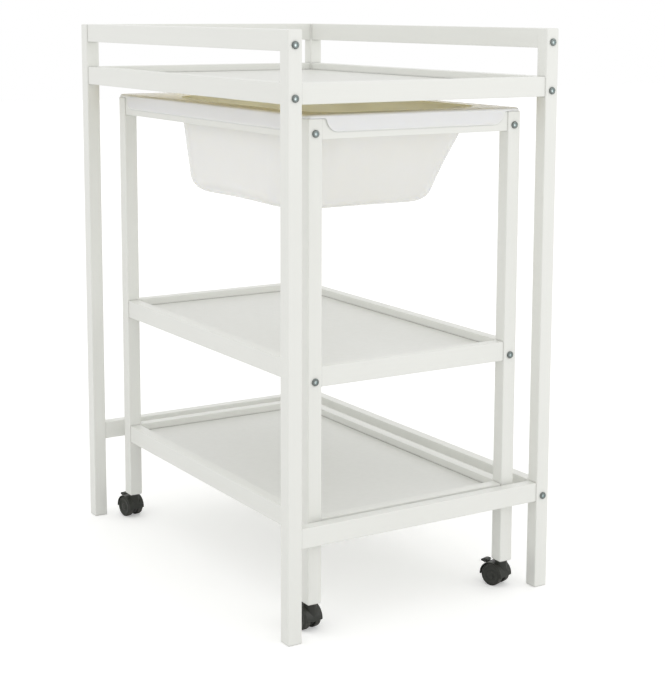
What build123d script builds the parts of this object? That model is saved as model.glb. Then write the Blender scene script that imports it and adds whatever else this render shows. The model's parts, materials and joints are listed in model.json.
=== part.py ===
from build123d import *
import math
import os

# Changing table with a bath trolley parked inside it. Millimetres, +Z up.
# The origin is on the floor under the middle of the table. The open short side, where
# the user stands, faces -Y. The trolley rolls out to -X, the side with no low rail.

# Overall sizes of the table
table_width = 540.0
table_depth = 810.0
table_height = 1000.0
post_size = 26.0

# Rails: each one butts between two posts and lies midway in their thickness
rail_height = 34.0
rail_thickness = 21.0
tray_rail_drop = 83.0
low_rail_top = 194.0
tray_rail_top = table_height - tray_rail_drop
post_arris = 2.0
rail_arris = 1.4
stand_foot_chamfer = 1.0
trolley_foot_chamfer = 1.8

# Boards: thin panels whose edges sit in grooves round the inside of their rails
board_drop = 14.0
board_thickness = 8.0
tongue_depth = 5.0
groove_clearance = 0.15
notch_clearance = 0.3

# Trolley: a second frame on casters
trolley_side_gap = 56.0
trolley_front_gap = 31.0
trolley_back_gap = 51.0
trolley_head_gap = 25.0
trolley_width = table_width - trolley_side_gap - trolley_side_gap
trolley_depth = table_depth - trolley_front_gap - trolley_back_gap
trolley_post_top = tray_rail_top - rail_height - trolley_head_gap
trolley_post_bottom = 48.0
middle_shelf_top = 452.0
lower_shelf_top = 194.0

# Joinery: long rails are bolted, with a dowel above each bolt, and short rails are dowelled
bolt_drop = 7.0
dowel_rise = 7.0
bolt_radius = 3.0
bolt_clearance = 0.3
bolt_head_radius = 6.2
bolt_head_height = 3.0
bolt_head_round = 1.6
bolt_socket_across_flats = 5.0
bolt_socket_depth = 2.2
bolt_grip = 34.0
nut_radius = 5.0
nut_length = 14.0
nut_inset = 28.0
dowel_radius = 4.0
dowel_in_post = 14.0
dowel_in_rail = 26.0
short_dowel_in_post = 8.5
short_dowel_spread = 8.0

# Bathtub: a moulded shell that hangs in the trolley by its rim
bath_rim_rise = 6.0
bath_rim_top = trolley_post_top + bath_rim_rise
bath_sheet = 3.0
bath_depth = 175.0
bath_top_side_margin = 34.0
bath_top_front_margin = 34.0
bath_top_back_margin = 107.0
bath_bottom_side_margin = 52.0
bath_bottom_front_margin = 152.0
bath_bottom_back_margin = 124.0
bath_top_front_radius = 80.0
bath_top_back_straight = 110.0
bath_top_back_radius = (trolley_width - bath_top_side_margin - bath_top_side_margin
                        - bath_top_back_straight) / 2
bath_bottom_front_radius = 74.0
bath_bottom_back_straight = 84.0
bath_bottom_back_radius = (trolley_width - bath_bottom_side_margin - bath_bottom_side_margin
                           - bath_bottom_back_straight) / 2
bath_bottom_round = 34.0
bath_lip_round = 2.4
rim_corner_radius = 8.0
rim_edge_round = 2.2
skirt_thickness = 2.2
skirt_height = 28.2
skirt_start = 3.5
skirt_sweep = 27.0
skirt_shoulder = 5.0
soap_tray_length = 230.0
soap_tray_width = 50.0
soap_tray_depth = 12.0
soap_tray_radius = 12.0

# Drain in the bath's floor
drain_back_offset = 95.0
drain_radius = 19.0
drain_wall = 3.0
drain_fit = 0.3
drain_flange_width = 7.0
drain_flange_height = 2.0
drain_flange_round = 1.6
drain_tail = 13.0
drain_nut_width = 8.0
drain_nut_height = 6.0
plug_fit = 0.2
plug_head_height = 3.0
plug_head_overlap = 3.0
plug_depth = 9.0
plug_taper = 1.5
plug_knob_radius = 5.0
plug_knob_height = 9.0
plug_knob_round = 2.0

# Casters: twin wheels under a hood, on a stem that turns in a socket in the post
wheel_radius = 20.0
wheel_width = 12.0
wheel_edge_round = 2.5
hub_recess_radius = 12.4
hub_recess_depth = 1.2
hub_cap_radius = 4.7
wheel_gap = 10.0
axle_radius = 3.0
axle_running_clearance = 0.05
web_side_clearance = 0.4
caster_trail = 12.0
hood_clearance = 1.3
hood_wall = 2.0
hood_end_height = 18.0
hood_edge_round = 0.8
hood_boss_radius = 10.5
stem_radius = 4.0
stem_running_clearance = 0.05
stem_in_hood = 9.0
stem_length = 34.0
socket_radius = 5.5
socket_length = 37.0
socket_flange_radius = 9.5
socket_flange_height = 0.8
swivel_gap = 0.3

# Brake lever of each caster
lever_pivot_back = 12.0
lever_pivot_rise = 11.4
lever_width = 5.6
lever_side_clearance = 0.3
lever_pin_radius = 1.6
lever_boss_radius = 3.0
lever_swing_clearance = 0.8
lever_neck_rise = 8.3
lever_crest_reach = 6.2
lever_crest_rise = 12.6
pedal_width = 12.0
pedal_reach = 18.2
pedal_tip_rise = 7.6
pedal_tip_thickness = 1.6
pedal_hollow_reach = 9.6
pedal_hollow_rise = 5.4
pedal_corner_round = 4.0
pedal_guard_clearance = 2.0

# How each caster is turned at rest, in degrees about Z, with the trail towards +Y
caster_turns = {
    "front_left": 8.0,
    "front_right": 18.0,
    "back_left": 9.0,
    "back_right": 5.0,
}

# The four corners, and the corners at the ends of each side
corners = list(caster_turns)
long_sides = {"left": ("front_left", "back_left"), "right": ("front_right", "back_right")}
short_sides = {"front": ("front_left", "front_right"), "back": ("back_left", "back_right")}

# How far a cutting shape runs past what it cuts
overrun = 2.0

os.makedirs("parts", exist_ok=True)


def write(name, solids):
    """Write one node, from one solid or a list of separate solids."""
    shapes = list(solids) if isinstance(solids, (list, tuple)) else [solids]
    pieces = [solid for shape in shapes for solid in shape.solids()]
    whole = pieces[0] if len(pieces) == 1 else Compound(children=pieces)
    export_step(whole, os.path.join("parts", name + ".step"))


def block(x, y, z):
    """A box between pairs of coordinates, each pair given lowest first."""
    size = Box(x[1] - x[0], y[1] - y[0], z[1] - z[0])
    return Pos((x[0] + x[1]) / 2, (y[0] + y[1]) / 2, (z[0] + z[1]) / 2) * size


def rod(start, direction, radius, length):
    """A cylinder from a start point along a direction."""
    return Solid.make_cylinder(radius, length, Plane(origin=start, z_dir=direction))


def edges_along(shape, axis):
    return shape.edges().filter_by(axis)


class Frame:
    """Four posts on a rectangle, with the rails that run between them."""

    def __init__(self, width, depth, centre_y):
        self.x = (-width / 2, width / 2)
        self.y = (centre_y - depth / 2, centre_y + depth / 2)
        self.inset = (post_size - rail_thickness) / 2

    def corner(self, name):
        """Signs of a corner's outward X and Y directions."""
        return (-1 if "left" in name else 1, -1 if "front" in name else 1)

    def post_span(self, name):
        sx, sy = self.corner(name)
        x = (self.x[0], self.x[0] + post_size) if sx < 0 else (self.x[1] - post_size, self.x[1])
        y = (self.y[0], self.y[0] + post_size) if sy < 0 else (self.y[1] - post_size, self.y[1])
        return x, y

    def post_centre(self, name):
        x, y = self.post_span(name)
        return (x[0] + x[1]) / 2, (y[0] + y[1]) / 2

    def rail_span(self, side):
        """Footprint of the rail on one side of the frame."""
        along_x = (self.x[0] + post_size, self.x[1] - post_size)
        along_y = (self.y[0] + post_size, self.y[1] - post_size)
        near, far = self.inset, self.inset + rail_thickness
        if side == "front":
            return along_x, (self.y[0] + near, self.y[0] + far)
        if side == "back":
            return along_x, (self.y[1] - far, self.y[1] - near)
        if side == "left":
            return (self.x[0] + near, self.x[0] + far), along_y
        return (self.x[1] - far, self.x[1] - near), along_y

    def board_span(self):
        reach = self.inset + rail_thickness - tongue_depth
        x = (self.x[0] + reach, self.x[1] - reach)
        y = (self.y[0] + reach, self.y[1] - reach)
        return x, y


def bolt_places(frame, corner, level_top):
    """Axis point on the post's outer face and direction of the bolt into a long rail."""
    sx, sy = frame.corner(corner)
    cx, cy = frame.post_centre(corner)
    face = frame.y[0] if sy < 0 else frame.y[1]
    return (cx, face, level_top - rail_height / 2 - bolt_drop), (0, -sy, 0)


def long_dowel(frame, corner, level_top):
    """Dowel above a bolt, from inside the post into the long rail's end."""
    sx, sy = frame.corner(corner)
    cx, cy = frame.post_centre(corner)
    joint = cy - sy * post_size / 2
    start = (cx, joint + sy * dowel_in_post, level_top - rail_height / 2 + dowel_rise)
    return rod(start, (0, -sy, 0), dowel_radius, dowel_in_post + dowel_in_rail)


def short_dowels(frame, corner, level_top):
    """Two dowels from inside the post into the short rail's end."""
    sx, sy = frame.corner(corner)
    cx, cy = frame.post_centre(corner)
    joint = cx - sx * post_size / 2
    middle = level_top - rail_height / 2
    length = short_dowel_in_post + dowel_in_rail
    return [
        rod((joint + sx * short_dowel_in_post, cy, middle + up * short_dowel_spread),
            (-sx, 0, 0), dowel_radius, length)
        for up in (-1, 1)
    ]


def bolt(start, direction):
    """Round-headed bolt with a hexagon socket, its head seated on the post's face."""
    along = Vector(*direction)
    shank = rod(start, direction, bolt_radius, post_size + bolt_grip)
    head = rod(start, -along, bolt_head_radius, bolt_head_height)
    outer = (head.faces().sort_by(Axis((0, 0, 0), direction))[0]).edges()
    head = fillet(outer, bolt_head_round)
    mouth = Vector(*start) - along * bolt_head_height
    hexagon = Plane(origin=mouth, z_dir=along) * RegularPolygon(
        bolt_socket_across_flats / 2, 6, major_radius=False)
    return head + shank - extrude(hexagon, bolt_socket_depth, dir=along)


def bolt_hole(start, direction):
    length = post_size + bolt_grip
    return rod(start, direction, bolt_radius + bolt_clearance, length)


def nut_place(frame, corner, level_top):
    """Centre of the barrel nut in a long rail, on the bolt's axis."""
    start, direction = bolt_places(frame, corner, level_top)
    reach = post_size + nut_inset
    return start[0], start[1] + direction[1] * reach, start[2]


def nut_hole(frame, corner, level_top):
    x, y, z = nut_place(frame, corner, level_top)
    bottom = level_top - rail_height - overrun
    top = z + nut_length / 2
    return rod((x, y, bottom), (0, 0, 1), nut_radius, top - bottom)


def barrel_nut(frame, corner, level_top):
    x, y, z = nut_place(frame, corner, level_top)
    start, direction = bolt_places(frame, corner, level_top)
    barrel = rod((x, y, z - nut_length / 2), (0, 0, 1), nut_radius, nut_length)
    return barrel - rod(start, direction, bolt_radius, post_size + bolt_grip)


def post(frame, corner, bottom, top, foot_chamfer, cuts):
    """A square post with rounded arrises and top, less the holes that are in it."""
    x, y = frame.post_span(corner)
    body = block(x, y, (bottom, top))
    body = fillet(edges_along(body, Axis.Z), post_arris)
    body = fillet(body.faces().sort_by(Axis.Z)[-1].edges(), post_arris)
    body = chamfer(body.faces().sort_by(Axis.Z)[0].edges(), foot_chamfer)
    for cut in cuts:
        body -= cut
    return body


def rail(frame, side, level_top, grooved, cuts):
    """A rail with eased long edges, a groove for the board if it holds one, and its holes."""
    x, y = frame.rail_span(side)
    body = block(x, y, (level_top - rail_height, level_top))
    body = fillet(edges_along(body, Axis.X if side in ("front", "back") else Axis.Y), rail_arris)
    if grooved:
        body -= groove(frame, level_top)
    for cut in cuts:
        body -= cut
    return body


def groove(frame, level_top):
    """Space that a board's edge takes in the rails round it."""
    x, y = frame.board_span()
    top = level_top - board_drop
    z = (top - board_thickness - groove_clearance, top + groove_clearance)
    return block(x, y, z)


def board(frame, level_top):
    """A panel that fills its grooves, notched round the four posts."""
    x, y = frame.board_span()
    top = level_top - board_drop
    body = block(x, y, (top - board_thickness, top))
    for corner in corners:
        px, py = frame.post_span(corner)
        notch_x = (px[0] - notch_clearance, px[1] + notch_clearance)
        notch_y = (py[0] - notch_clearance, py[1] + notch_clearance)
        body -= block(notch_x, notch_y, (top - board_thickness - overrun, top + overrun))
    return body


def build_frame(frame, prefix, levels, bottom, top, foot_chamfer, extra_cuts):
    """Posts, rails, boards and joinery of one frame.

    levels maps a rail name to its top height, the sides that have it and its board name."""
    bolts, nuts, dowels = [], [], []
    post_cuts = {corner: list(extra_cuts.get(corner, [])) for corner in corners}
    for name, (level_top, sides, board_name) in levels.items():
        for side in sides:
            cuts = []
            for corner in long_sides.get(side, ()):
                start, direction = bolt_places(frame, corner, level_top)
                bolts.append(bolt(start, direction))
                nuts.append(barrel_nut(frame, corner, level_top))
                dowels.append(long_dowel(frame, corner, level_top))
                through = bolt_hole(start, direction)
                cuts += [through, nut_hole(frame, corner, level_top), dowels[-1]]
                post_cuts[corner] += [through, dowels[-1]]
            for corner in short_sides.get(side, ()):
                pair = short_dowels(frame, corner, level_top)
                dowels += pair
                cuts += pair
                post_cuts[corner] += pair
            write(name + "_" + side, rail(frame, side, level_top, board_name, cuts))
        if board_name:
            write(board_name, board(frame, level_top))
    for corner in corners:
        solid = post(frame, corner, bottom, top, foot_chamfer, post_cuts[corner])
        write(prefix + "_post_" + corner, solid)
    write(prefix + "_bolts", bolts)
    write(prefix + "_barrel_nuts", nuts)
    write(prefix + "_dowels", dowels)


def bath_outline(frame, side, front, back, front_radius, back_radius, height):
    """Plan of the bath at one height: straight sides with wide arcs at the four corners."""
    x0, x1 = frame.x[0] + side, frame.x[1] - side
    y0, y1 = frame.y[0] + front, frame.y[1] - back
    quarter = math.sqrt(2) / 2
    f, b = front_radius, back_radius
    points = [
        Line((x0 + f, y0), (x1 - f, y0)),
        ThreePointArc((x1 - f, y0), (x1 - f + f * quarter, y0 + f - f * quarter), (x1, y0 + f)),
        Line((x1, y0 + f), (x1, y1 - b)),
        ThreePointArc((x1, y1 - b), (x1 - b + b * quarter, y1 - b + b * quarter), (x1 - b, y1)),
        Line((x1 - b, y1), (x0 + b, y1)),
        ThreePointArc((x0 + b, y1), (x0 + b - b * quarter, y1 - b + b * quarter), (x0, y1 - b)),
        Line((x0, y1 - b), (x0, y0 + f)),
        ThreePointArc((x0, y0 + f), (x0 + f - f * quarter, y0 + f - f * quarter), (x0 + f, y0)),
    ]
    return Pos(0, 0, height) * make_face(Curve() + points)


def bath_solid(frame, inwards, floor, top, bottom_round):
    """Bowl of the bath as a full solid, drawn in by a wall's thickness for the hollow."""
    rise = (top - (bath_rim_top - bath_depth)) / bath_depth
    sink = (floor - (bath_rim_top - bath_depth)) / bath_depth

    def at(height, share):
        side = bath_bottom_side_margin + (bath_top_side_margin - bath_bottom_side_margin) * share
        front = bath_bottom_front_margin + (bath_top_front_margin - bath_bottom_front_margin) * share
        back = bath_bottom_back_margin + (bath_top_back_margin - bath_bottom_back_margin) * share
        fr = bath_bottom_front_radius + (bath_top_front_radius - bath_bottom_front_radius) * share
        br = bath_bottom_back_radius + (bath_top_back_radius - bath_bottom_back_radius) * share
        return bath_outline(frame, side + inwards, front + inwards, back + inwards,
                            fr - inwards, br - inwards, height)

    bowl = loft([at(floor, sink), at(top, rise)], ruled=True)
    return fillet(bowl.faces().sort_by(Axis.Z)[0].edges(), bottom_round)


def skirt_curve(start, end, height, bottom):
    """Ogee from the rim's lower edge down to the skirt's: a tight shoulder, then a wide arc.

    start and end are places along the rim, height and bottom the two levels. Both arcs turn by
    the same angle, whose half has the drop over the run as its tangent, so they meet smoothly."""
    along = 1 if end > start else -1
    turn = 2 * math.atan((height - bottom) / abs(end - start))
    meet = (start + along * skirt_shoulder * math.sin(turn),
            height - skirt_shoulder * (1 - math.cos(turn)))
    first = TangentArc((start, height), meet, tangent=(along, 0))
    second = TangentArc((end, bottom), meet, tangent=(-along, 0))
    return first, second


def skirt_cut(frame, side, corner):
    """What is cut from the skirt beside one post, down to the rim's lower edge."""
    sx, sy = frame.corner(corner)
    low = bath_rim_top - skirt_height - overrun
    high = trolley_post_top
    foot = bath_rim_top - skirt_height
    ends = frame.x if side in ("front", "back") else frame.y
    sign = sx if side in ("front", "back") else sy
    outer = ends[0] - overrun if sign < 0 else ends[1] + overrun
    inner = outer - sign * (post_size + skirt_start + overrun)
    swept = inner - sign * skirt_sweep
    first, second = skirt_curve(inner, swept, high, foot)
    outline = Curve() + [
        first, second,
        Line((swept, foot), (swept, low)), Line((swept, low), (outer, low)),
        Line((outer, low), (outer, high)), Line((outer, high), (inner, high)),
    ]
    if side in ("front", "back"):
        face_at = frame.y[0] - overrun if side == "front" else frame.y[1] - post_size
        plane = Plane(origin=(0, face_at, 0), x_dir=(1, 0, 0), z_dir=(0, -1, 0))
        return extrude(plane * make_face(outline), post_size + overrun, dir=(0, 1, 0))
    face_at = frame.x[0] - overrun if side == "left" else frame.x[1] - post_size
    plane = Plane(origin=(face_at, 0, 0), x_dir=(0, 1, 0), z_dir=(1, 0, 0))
    return extrude(plane * make_face(outline), post_size + overrun, dir=(1, 0, 0))


def rim_plan(frame, inwards, radius):
    width = frame.x[1] - frame.x[0] - inwards - inwards
    depth = frame.y[1] - frame.y[0] - inwards - inwards
    centre_y = (frame.y[0] + frame.y[1]) / 2
    return Pos(0, centre_y, 0) * RectangleRounded(width, depth, radius)


def soap_tray(frame, grow, top):
    """Shallow dish in the wide part of the rim behind the bowl."""
    bowl_back = frame.y[1] - bath_top_back_margin
    rail_face = frame.y[1] - frame.inset - rail_thickness
    centre = Pos(0, (bowl_back + rail_face) / 2, bath_rim_top - soap_tray_depth - grow)
    plan = RectangleRounded(
        soap_tray_length + grow + grow, soap_tray_width + grow + grow, soap_tray_radius + grow)
    return extrude(centre * plan, top - bath_rim_top + soap_tray_depth + grow)


def bathtub(frame):
    """Moulded bath: rim plate, skirt, corner pads, bowl and soap tray, all one sheet thick."""
    floor = bath_rim_top - bath_depth
    plate_bottom = bath_rim_top - bath_sheet
    skirt_foot = bath_rim_top - skirt_height
    shell = extrude(Pos(0, 0, skirt_foot) * rim_plan(frame, 0, rim_corner_radius), skirt_height)
    shell = fillet(shell.faces().sort_by(Axis.Z)[-1].edges(), rim_edge_round)
    inner_plan = rim_plan(frame, skirt_thickness, rim_corner_radius - skirt_thickness)
    hollow = extrude(Pos(0, 0, skirt_foot - overrun) * inner_plan, plate_bottom - skirt_foot + overrun)
    for corner in corners:
        x, y = frame.post_span(corner)
        hollow -= block(x, y, (trolley_post_top, plate_bottom))
    shell -= hollow
    for side, ends in list(short_sides.items()) + list(long_sides.items()):
        for corner in ends:
            shell -= skirt_cut(frame, side, corner)
    shell += bath_solid(frame, 0, floor, plate_bottom, bath_bottom_round)
    shell += soap_tray(frame, bath_sheet, plate_bottom)
    shell -= bath_solid(frame, bath_sheet, floor + bath_sheet, bath_rim_top + overrun,
                        bath_bottom_round - bath_sheet)
    shell -= soap_tray(frame, 0, bath_rim_top + overrun)
    rim_face = shell.faces().filter_by(Axis.Z).sort_by(Axis.Z)[-1]
    lip = [edge for mouth in rim_face.inner_wires() for edge in mouth.edges()]
    shell = fillet(lip, bath_lip_round)
    return shell - rod(drain_centre(frame, floor - overrun), (0, 0, 1),
                       drain_radius + drain_fit, bath_sheet + overrun + overrun)


def drain_centre(frame, height):
    y = frame.y[1] - bath_bottom_back_margin - drain_back_offset
    return (0, y, height)


def drain_pieces(frame):
    """Flanged drain, the nut that holds it under the floor, and its plug."""
    under = bath_rim_top - bath_depth
    floor = under + bath_sheet
    flange_radius = drain_radius + drain_flange_width
    fitting = rod(drain_centre(frame, floor), (0, 0, 1), flange_radius, drain_flange_height)
    fitting = fillet(fitting.edges().sort_by(Axis.Z)[-1], drain_flange_round)
    tail_bottom = under - drain_tail
    fitting += rod(drain_centre(frame, tail_bottom), (0, 0, 1), drain_radius, floor - tail_bottom)
    bore = drain_radius - drain_wall
    through = floor + drain_flange_height - tail_bottom
    fitting -= rod(drain_centre(frame, tail_bottom), (0, 0, 1), bore, through)
    write("drain_fitting", fitting)

    nut = rod(drain_centre(frame, under - drain_nut_height), (0, 0, 1),
              drain_radius + drain_nut_width, drain_nut_height)
    nut -= rod(drain_centre(frame, under - drain_nut_height), (0, 0, 1), drain_radius, drain_nut_height)
    write("drain_nut", nut)

    seat = floor + drain_flange_height
    cone = Solid.make_cone(bore - plug_fit - plug_taper, bore - plug_fit, plug_depth,
                           Plane(origin=drain_centre(frame, seat - plug_depth)))
    head = rod(drain_centre(frame, seat), (0, 0, 1), bore + plug_head_overlap, plug_head_height)
    knob_height = plug_head_height + plug_knob_height
    knob = rod(drain_centre(frame, seat), (0, 0, 1), plug_knob_radius, knob_height)
    knob = fillet(knob.edges().sort_by(Axis.Z)[-1], plug_knob_round)
    write("drain_plug", cone + head + knob)


def caster_hood():
    """Half-round guard over both wheels, with the web between them and the stem's boss.

    Local frame: the axle's centre is the origin, the axle is along X, the trail is +Y."""
    inner = wheel_radius + hood_clearance
    outer = inner + hood_wall
    half = wheel_gap / 2 + wheel_width
    web = wheel_gap / 2 - web_side_clearance
    swivel = (0, -caster_trail, 0)
    boss_top = trolley_post_bottom - socket_flange_height - swivel_gap - wheel_radius
    guard = rod((-half, 0, 0), (1, 0, 0), outer, half + half)
    guard = fillet(guard.edges().filter_by(GeomType.CIRCLE), hood_edge_round)
    guard -= rod((-half - overrun, 0, 0), (1, 0, 0), inner, half + half + overrun + overrun)
    guard += rod((-web, 0, 0), (1, 0, 0), outer, web + web)
    cut_level = hood_end_height - wheel_radius
    below = block((-half - overrun, half + overrun), (-outer - overrun, outer + overrun),
                  (-outer - overrun, cut_level))
    web_disc = rod((-web, 0, 0), (1, 0, 0), axle_radius + axle_radius, web + web)
    guard = guard - below + web_disc
    boss = rod(swivel, (0, 0, 1), hood_boss_radius, boss_top)
    boss -= rod((-half, 0, 0), (1, 0, 0), inner, half + half) - block(
        (-web, web), (-outer, outer), (-outer, outer))
    guard += boss
    guard -= rod((-half, 0, 0), (1, 0, 0), axle_radius + axle_running_clearance, half + half)
    stem_foot = boss_top - stem_in_hood
    guard -= rod((0, -caster_trail, stem_foot), (0, 0, 1), stem_radius, stem_in_hood + overrun)
    slot = lever_width / 2 + lever_side_clearance
    slot_low = lever_pivot_rise - lever_boss_radius - lever_swing_clearance
    slot_near = lever_pivot_back - lever_boss_radius - lever_swing_clearance
    guard -= block((-slot, slot), (slot_near, outer + overrun), (slot_low, outer + overrun))
    guard -= rod((-web, lever_pivot_back, lever_pivot_rise), (1, 0, 0),
                 lever_pin_radius + axle_running_clearance, web + web)
    return guard


def caster_wheels():
    """Two wheels with dished hubs, and the axle that joins them."""
    inner = wheel_gap / 2
    body = None
    for side in (-1, 1):
        wheel = rod((side * inner, 0, 0), (side, 0, 0), wheel_radius, wheel_width)
        rims = wheel.edges().filter_by(GeomType.CIRCLE)
        wheel = fillet(rims, wheel_edge_round)
        face = side * (inner + wheel_width)
        dish = rod((face, 0, 0), (-side, 0, 0), hub_recess_radius, hub_recess_depth)
        dish -= rod((face, 0, 0), (-side, 0, 0), hub_cap_radius, hub_recess_depth)
        wheel -= dish
        body = wheel if body is None else body + wheel
    return body + rod((-inner - hub_cap_radius, 0, 0), (1, 0, 0), axle_radius,
                      wheel_gap + hub_cap_radius + hub_cap_radius)


def crest_arc(crest, end):
    """Arc from a level crest down to a lower point beside it."""
    run, drop = end[0] - crest[0], crest[1] - end[1]
    turn = math.atan(drop / abs(run))
    radius = abs(run) / math.sin(turn + turn)
    middle = (crest[0] + math.copysign(radius * math.sin(turn), run),
              crest[1] - radius * (1 - math.cos(turn)))
    return ThreePointArc(crest, middle, end)


def caster_brake():
    """Foot lever: a pin and a boss in the web, and a hooked arm that ends in the pedal.

    The outline is drawn in the wheels' plane. All of it is as wide as the slot in the web, and
    what stands clear of the guard is as wide as the pedal."""
    web = wheel_gap / 2 - web_side_clearance
    half = lever_width / 2
    py, pz = lever_pivot_back, lever_pivot_rise
    root = (py - lever_pin_radius, pz + lever_pin_radius)
    neck = (py, pz + lever_neck_rise)
    crest = (py + lever_crest_reach, pz + lever_crest_rise)
    tip = (py + pedal_reach, pz + pedal_tip_rise)
    under_tip = (tip[0], tip[1] - pedal_tip_thickness)
    hollow = (py + pedal_hollow_reach, pz + pedal_hollow_rise)
    foot = (py + lever_boss_radius, pz - lever_pin_radius)
    outline = make_face(Curve() + [
        Line(root, neck), crest_arc(crest, neck), crest_arc(crest, tip), Line(tip, under_tip),
        ThreePointArc(under_tip, hollow, foot), Line(foot, root),
    ])

    def slab(width):
        side_plane = Plane(origin=(-width / 2, 0, 0), x_dir=(0, 1, 0), z_dir=(1, 0, 0))
        return extrude(side_plane * outline, width, dir=(1, 0, 0))

    lever = rod((-web, py, pz), (1, 0, 0), lever_pin_radius, web + web)
    lever += rod((-half, py, pz), (1, 0, 0), lever_boss_radius, lever_width)
    lever += slab(lever_width)
    guard = wheel_radius + hood_clearance + hood_wall + pedal_guard_clearance
    plan = block((-pedal_width / 2, pedal_width / 2), (0, tip[0]), (0, crest[1] + overrun))
    ends = plan.edges().filter_by(Axis.Z).group_by(Axis.Y)[-1]
    plan = fillet(ends, pedal_corner_round)
    pedal = slab(pedal_width) & plan
    pedal -= rod((-pedal_width, 0, 0), (1, 0, 0), guard, pedal_width + pedal_width)
    return lever + pedal


def caster_stem():
    """Steel stem pressed in the hood, that turns in the post's socket."""
    boss_top = trolley_post_bottom - socket_flange_height - swivel_gap - wheel_radius
    return rod((0, -caster_trail, boss_top - stem_in_hood), (0, 0, 1), stem_radius,
               stem_in_hood + stem_length)


def caster_socket(frame, corner):
    """Sleeve with a small flange, pushed up into the post's end."""
    cx, cy = frame.post_centre(corner)
    flange_bottom = trolley_post_bottom - socket_flange_height
    sleeve = rod((cx, cy, flange_bottom), (0, 0, 1), socket_radius,
                 socket_length + socket_flange_height)
    sleeve += rod((cx, cy, flange_bottom), (0, 0, 1), socket_flange_radius, socket_flange_height)
    bore = stem_length + socket_flange_height + swivel_gap
    return sleeve - rod((cx, cy, flange_bottom), (0, 0, 1),
                        stem_radius + stem_running_clearance, bore)


def build_casters(frame):
    pieces = {
        "caster_hood": caster_hood(),
        "caster_wheels": caster_wheels(),
        "caster_brake": caster_brake(),
        "caster_stem": caster_stem(),
    }
    for corner, turn in caster_turns.items():
        cx, cy = frame.post_centre(corner)
        place = Pos(cx, cy, wheel_radius) * Rot(0, 0, turn) * Pos(0, caster_trail, 0)
        for name, piece in pieces.items():
            write(name + "_" + corner, place * piece)
        lever = place * Pos(0, lever_pivot_back, lever_pivot_rise)
        print(corner, "swivel", (cx, cy), "axle", tuple(round(v, 4) for v in place.position),
              "lever pivot", tuple(round(v, 4) for v in lever.position),
              "axle direction", (round(math.cos(math.radians(turn)), 6),
                                 round(math.sin(math.radians(turn)), 6)))


table = Frame(table_width, table_depth, 0)
build_frame(
    table, "stand",
    {
        "guard_rail": (table_height, ("left", "right", "back"), None),
        "tray_rail": (tray_rail_top, ("left", "right", "front", "back"), "changing_board"),
        "low_rail": (low_rail_top, ("right", "front", "back"), None),
    },
    0, table_height, stand_foot_chamfer, {})

trolley_centre_y = -table_depth / 2 + trolley_front_gap + trolley_depth / 2
trolley = Frame(trolley_width, trolley_depth, trolley_centre_y)
socket_cuts = {}
sockets = []
for corner_name in corners:
    post_x, post_y = trolley.post_centre(corner_name)
    socket_cuts[corner_name] = [rod((post_x, post_y, trolley_post_bottom), (0, 0, 1),
                                    socket_radius, socket_length)]
    sockets.append(caster_socket(trolley, corner_name))
all_sides = ("left", "right", "front", "back")
build_frame(
    trolley, "trolley",
    {
        "top_rail": (trolley_post_top, all_sides, None),
        "middle_rail": (middle_shelf_top, all_sides, "middle_shelf_board"),
        "lower_rail": (lower_shelf_top, all_sides, "lower_shelf_board"),
    },
    trolley_post_bottom, trolley_post_top, trolley_foot_chamfer, socket_cuts)
write("caster_sockets", sockets)
write("bathtub", bathtub(trolley))
drain_pieces(trolley)
build_casters(trolley)
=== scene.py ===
# %% [markdown]
# # A changing table with a bath trolley parked inside it
#
# The real object is a white painted beech stand with a railed changing tray on top. A second,
# smaller frame stands inside it on four twin-wheel casters. It carries a moulded bath, which
# hangs by its rim, and two shelves.
#
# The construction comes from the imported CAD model, whose nodes stay where they are. This lesson
# gives them their finishes and makes the moulded and turned pieces again as smooth numpy
# surfaces, because a moulding lives from its roundings. Lengths are metres, +Z is up, and the
# open short side of the table faces -Y.

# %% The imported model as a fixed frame
import json
import math

import bpy
import numpy as np
from mathutils import Matrix, Vector


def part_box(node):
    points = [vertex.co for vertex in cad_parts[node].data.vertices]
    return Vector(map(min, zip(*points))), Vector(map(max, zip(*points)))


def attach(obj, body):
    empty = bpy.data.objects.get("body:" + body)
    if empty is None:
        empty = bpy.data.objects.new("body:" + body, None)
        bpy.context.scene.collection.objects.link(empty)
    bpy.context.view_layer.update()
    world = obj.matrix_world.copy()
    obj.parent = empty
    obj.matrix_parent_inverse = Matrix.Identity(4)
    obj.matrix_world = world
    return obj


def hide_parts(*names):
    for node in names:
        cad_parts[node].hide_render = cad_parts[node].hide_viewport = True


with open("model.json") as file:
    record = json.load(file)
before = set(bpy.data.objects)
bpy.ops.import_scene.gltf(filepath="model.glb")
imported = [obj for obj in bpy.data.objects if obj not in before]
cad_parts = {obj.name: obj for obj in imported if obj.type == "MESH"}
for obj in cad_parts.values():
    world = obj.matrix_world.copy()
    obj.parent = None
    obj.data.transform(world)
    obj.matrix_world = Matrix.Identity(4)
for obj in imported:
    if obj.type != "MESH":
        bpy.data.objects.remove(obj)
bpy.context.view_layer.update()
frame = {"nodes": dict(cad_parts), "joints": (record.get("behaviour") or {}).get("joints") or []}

bpy.context.scene.view_settings.view_transform = "Standard"
nodes = frame["nodes"]

# %% [markdown]
# ## The camera
#
# The photograph was taken with a long lens from the left front corner, a little above the
# table's top. Its vertical lines stay almost parallel, which a photographer gets by holding the
# camera level and shifting the lens down. A camera can be placed by eye, but here the corners of
# the table were matched by least squares, with a shift kept small enough that the camera can be
# walked round the object and still see most of it.

# %% Camera
CAMERA_PLACE = (-1.50445, -2.52107, 1.03227)
LENS_MM, SHIFT_DOWN = 83.53, -0.15
AZIMUTH, ELEVATION, ROLL = (math.radians(angle) for angle in (-31.89, 8.28, 0.19))

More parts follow.
